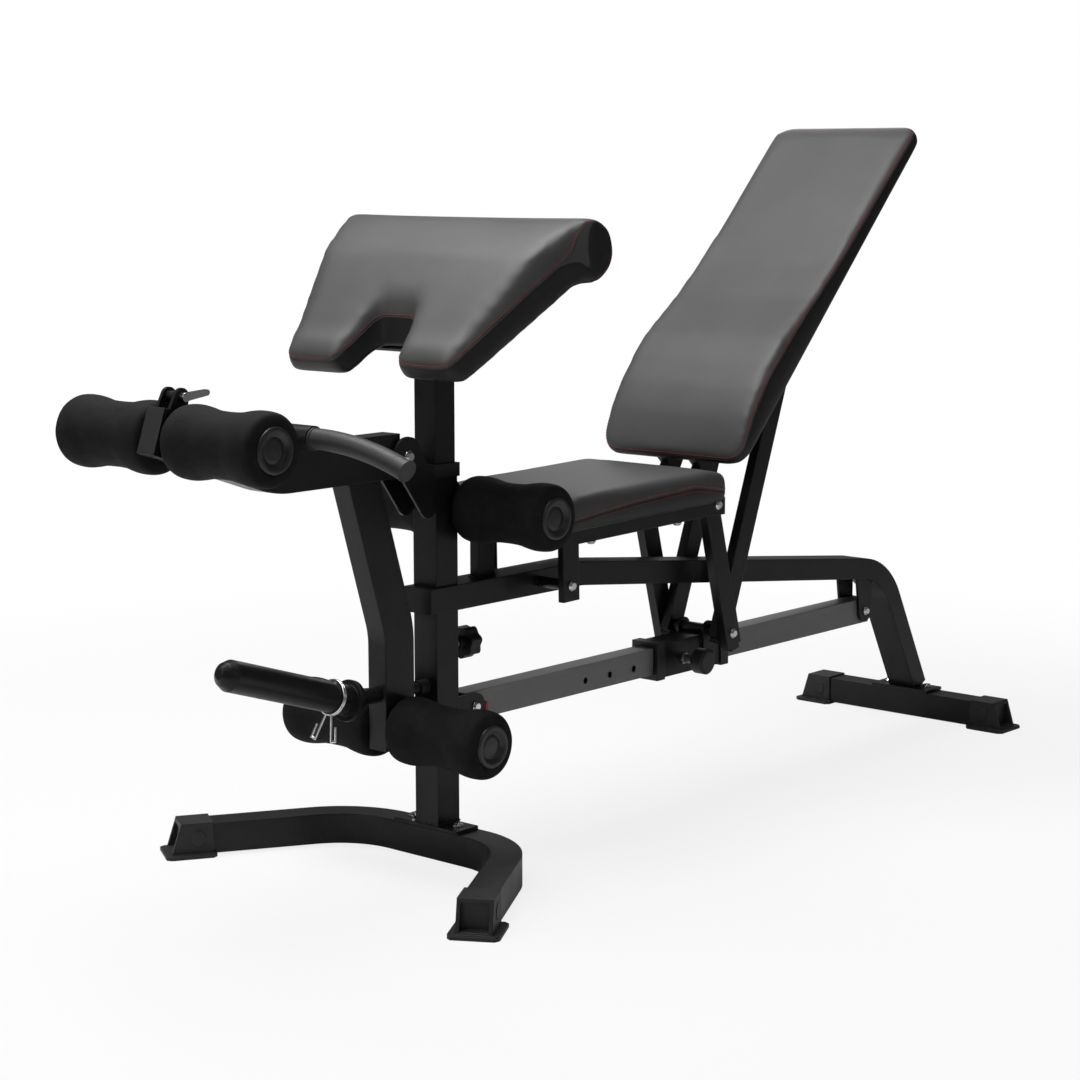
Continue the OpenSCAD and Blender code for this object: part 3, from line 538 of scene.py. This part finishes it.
def roundedRect(s0, s1, half, r, heightAt, inset=0.0):
    # outline of a pad with round corners, at the seam's height
    out = []
    for cs, cy, a0 in ((s1 - r, half - r, 0), (s0 + r, half - r, 90), (s0 + r, -half + r, 180), (s1 - r, -half + r, 270)):
        for k in range(13):
            a = math.radians(a0 + 90 * k / 12)
            out.append((cs + (r - inset) * math.cos(a), cy + (r - inset) * math.sin(a)))
    path = []
    n = len(out)
    for i in range(n):
        a, b = out[i], out[(i + 1) % n]
        steps = max(1, int(math.dist(a, b) / 0.01))
        for k in range(steps):
            s, y = a[0] + (b[0] - a[0]) * k / steps, a[1] + (b[1] - a[1]) * k / steps
            path.append((s, y, heightAt(s)))
    return path


padLook = {"voxel": 0.006, "round": 9, "pressure": 2.2, "frames": 12, "cap": 0.004, "held": 0.006, "welt": 0.0009,
           "rows": (0.0045, -0.0045), "thread": 0.0007, "fill": 0.95}

# back pad
backFrame = PadFrame((postX + 0.697, 0.672), 46.1)
backSeam = [(-0.116, 0.020), (-0.094, 0.026), (-0.026, 0.050), (0.044, 0.061), (0.14, 0.058), (0.20, 0.054),
            (0.27, 0.044), (0.367, 0.036), (0.476, 0.034), (0.629, 0.029), (0.69, 0.026)]
padBody("back_cushion", "back_pad", backFrame, dict(padLook, cap=0.003, rows=(0.0045,)), "back", backLeather,
        lambda p: p.z - between(backSeam, p.x),
        roundedRect(-0.115, 0.689, 0.159, 0.036, lambda s: between(backSeam, s)))

# seat pad
seatFrame = PadFrame((postX + 0.222, 0.430), 1.2)
seatSeam = [(-0.085, 0.111), (-0.05, 0.118), (0.02, 0.124), (0.12, 0.130), (0.27, 0.134), (0.31, 0.127), (0.36, 0.118),
            (0.379, 0.114)]
padBody("seat_cushion", "seat_pad", seatFrame, dict(padLook, held=0.104, round=16, cap=0.0015), "seat", seatLeather,
        lambda p: p.z - between(seatSeam, p.x),
        roundedRect(-0.084, 0.378, 0.148, 0.034, lambda s: between(seatSeam, s)))

# preacher pad: narrow at its lower edge, with a notch, and a roll along its upper edge
preacherFrame = PadFrame((postX - 0.124, 0.790), 38.35)
preacherSeam = [(-0.04, 0.034), (0.0, 0.038), (0.1, 0.047), (0.19, 0.048), (0.245, 0.052), (0.31, 0.074)]


def preacherLine():
    # plan of the side and the notch, in the upright's own distances
    half = [(0.05, 0.250), (0.0, 0.237), (-0.07, 0.211), (-0.12, 0.190), (-0.14, 0.183), (-0.154, 0.170), (-0.158, 0.150),
            (-0.158, 0.110), (-0.155, 0.085), (-0.148, 0.074), (-0.128, 0.058), (-0.100, 0.048), (-0.084, 0.042), (-0.078, 0.030),
            (-0.078, 0.0)]
    plan = half + [(x, -y) for x, y in reversed(half[:-1])]
    path = []
    for (x0, y0), (x1, y1) in zip(plan, plan[1:]):
        steps = max(1, int(math.dist((x0, y0), (x1, y1)) / 0.008))
        for k in range(steps):
            x, y = x0 + (x1 - x0) * k / steps, y0 + (y1 - y0) * k / steps
            s = (x + 0.124) * 0.784
            d = between(preacherSeam, s + 0.03)
            z = 0.790 + (d + 0.620 * (x + 0.124)) / 0.784
            path.append(preacherFrame.into @ Vector((postX + x, y, z)))
    # round the two ends of the roll
    ends = []
    for side in (-1, 1):
        arc = []
        for k in range(15):
            a = math.radians(118 - k * 198 / 14)
            arc.append(preacherFrame.into @ Vector((postX + 0.080 + 0.047 * math.cos(a), side * 0.265,
                                                    0.986 + 0.047 * math.sin(a))))
        ends.append(arc)
    return path + ends[0] + list(reversed(ends[1]))


def preacherSide(p):
    # the seam turns from the side panel's height to the edge of the roll's end
    w = min(1.0, max(0.0, (p.x - 0.21) / 0.05))
    # past the turn, the roll's end discs take the painted shade of the sides
    return (1 - w) * (p.z - between(preacherSeam, p.x)) + w * (0.2605 - abs(p.y))


padBody("preacher_cushion", "preacher_pad", preacherFrame, dict(padLook, held=0.004, round=10, cap=0.003, rows=(0.0045,)),
        "preacher", preacherLeather,
        preacherSide,
        preacherLine())
print("pads made")


# weld beads where tubes meet
def weld(name, corners, body, closed=True):
    path = even([Vector((postX + x, y, z)) for x, y, z in corners], 0.0022, closed)
    points, faces = tube(path, lambda i: 0.0024 + 0.0007 * math.sin(i * 1.9) + 0.0004 * math.sin(i * 0.37), 8, closed)
    newPiece(name, points, faces, plateBlack, body)


h = 0.025
weld("weld_upright_foot", [(-h, -h, 0.0605), (h, -h, 0.0605), (h, h, 0.0605), (-h, h, 0.0605)], "base")
weld("weld_foot_plate_near", [(-0.029, -0.0695, 0.0545), (0.0205, -0.0695, 0.0545)], "base", False)
weld("weld_foot_plate_far", [(-0.029, 0.0695, 0.0545), (0.0205, 0.0695, 0.0545)], "base", False)
weld("weld_roller_stand", [(0.0905, -0.0095, 0.451), (0.1295, -0.0095, 0.451), (0.1295, 0.0095, 0.451),
                           (0.0905, 0.0095, 0.451)], "base")
print("welds made")


# floor, light and camera
def stagePiece():
    size = 30
    mesh = bpy.data.meshes.new("floor")
    mesh.from_pydata([(-size, -size, 0), (size, -size, 0), (size, size, 0), (-size, size, 0)], [], [(0, 1, 2, 3)])
    floor = bpy.data.objects.new("floor", mesh)
    bpy.context.scene.collection.objects.link(floor)
    m = bpy.data.materials.new("pale_floor")
    m.use_nodes = True
    t = m.node_tree
    t.nodes.clear()
    matt = t.nodes.new("ShaderNodeBsdfDiffuse")
    matt.inputs["Color"].default_value = (0.72, 0.72, 0.72, 1)
    lit = t.nodes.new("ShaderNodeEmission")
    lit.inputs["Color"].default_value = (1, 1, 1, 1)
    lit.inputs["Strength"].default_value = 1.0
    ray = t.nodes.new("ShaderNodeLightPath")
    # the floor fades to plain white away from the bench
    place = t.nodes.new("ShaderNodeTexCoord")
    away = t.nodes.new("ShaderNodeVectorMath")
    away.operation = "LENGTH"
    fade = t.nodes.new("ShaderNodeMapRange")
    fade.interpolation_type = "SMOOTHSTEP"
    fade.inputs["From Min"].default_value = 1.0
    fade.inputs["From Max"].default_value = 2.6
    fade.inputs["To Min"].default_value = 0.82
    part = t.nodes.new("ShaderNodeMath")
    part.operation = "MULTIPLY"
    t.links.new(place.outputs["Object"], away.inputs[0])
    t.links.new(away.outputs["Value"], fade.inputs["Value"])
    t.links.new(fade.outputs[0], part.inputs[1])
    mix = t.nodes.new("ShaderNodeMixShader")
    end = t.nodes.new("ShaderNodeOutputMaterial")
    t.links.new(ray.outputs["Is Camera Ray"], part.inputs[0])
    t.links.new(part.outputs[0], mix.inputs[0])
    t.links.new(matt.outputs[0], mix.inputs[1])
    t.links.new(lit.outputs[0], mix.inputs[2])
    t.links.new(mix.outputs[0], end.inputs["Surface"])
    mesh.materials.append(m)


stagePiece()
world = bpy.data.worlds.new("studio")
bpy.context.scene.world = world
world.use_nodes = True
t = world.node_tree
back = t.nodes["Background"]
back.inputs["Color"].default_value = (0.11, 0.11, 0.112, 1)
plain = t.nodes.new("ShaderNodeBackground")
plain.inputs["Color"].default_value = (1, 1, 1, 1)
ray = t.nodes.new("ShaderNodeLightPath")
mix = t.nodes.new("ShaderNodeMixShader")
t.links.new(ray.outputs["Is Camera Ray"], mix.inputs[0])
t.links.new(back.outputs[0], mix.inputs[1])
t.links.new(plain.outputs[0], mix.inputs[2])
t.links.new(mix.outputs[0], t.nodes["World Output"].inputs["Surface"])

lampLook = [("overhead", (-0.7, 0.5, 3.3), (0.1, 0, 0.4), 2.6, 1.8, 130),
            ("front", (-3.2, 0.9, 2.2), (0, 0, 0.6), 1.6, 1.6, 28),
            ("near_side", (-0.5, -3.6, 1.9), (0.1, 0, 0.5), 2.0, 1.2, 5),
            ("rear", (2.8, 1.8, 2.4), (0.2, 0, 0.6), 1.4, 1.4, 14)]
for name, at, aim, wide, tall, power in lampLook:
    lamp = bpy.data.lights.new(name, "AREA")
    lamp.shape = "RECTANGLE"
    lamp.size = wide
    lamp.size_y = tall
    lamp.energy = power
    item = bpy.data.objects.new(name, lamp)
    bpy.context.scene.collection.objects.link(item)
    item.location = at
    item.rotation_euler = (Vector(aim) - Vector(at)).to_track_quat("-Z", "Y").to_euler()

cameraLook = {"lens": 81.96, "yaw": 41.157, "pitch": 8.759, "roll": -0.08, "at": (postX - 2.8189, -2.6862, 1.1218)}


def makeCamera():
    yaw, pitch, roll = (math.radians(cameraLook[k]) for k in ("yaw", "pitch", "roll"))
    ahead = Vector((math.cos(yaw) * math.cos(pitch), math.sin(yaw) * math.cos(pitch), -math.sin(pitch)))
    right = Vector((math.sin(yaw), -math.cos(yaw), 0))
    up = right.cross(ahead)
    across = right * math.cos(roll) + up * math.sin(roll)
    over = up * math.cos(roll) - right * math.sin(roll)
    lens = bpy.data.cameras.new("camera")
    lens.lens = cameraLook["lens"]
    lens.sensor_width = 36
    lens.clip_end = 100
    item = bpy.data.objects.new("camera", lens)
    bpy.context.scene.collection.objects.link(item)
    m = Matrix((across, over, -ahead)).transposed().to_4x4()
    m.translation = Vector(cameraLook["at"])
    item.matrix_world = m
    bpy.context.scene.camera = item


makeCamera()
bpy.context.scene.view_settings.view_transform = "Standard"
print("stage set")
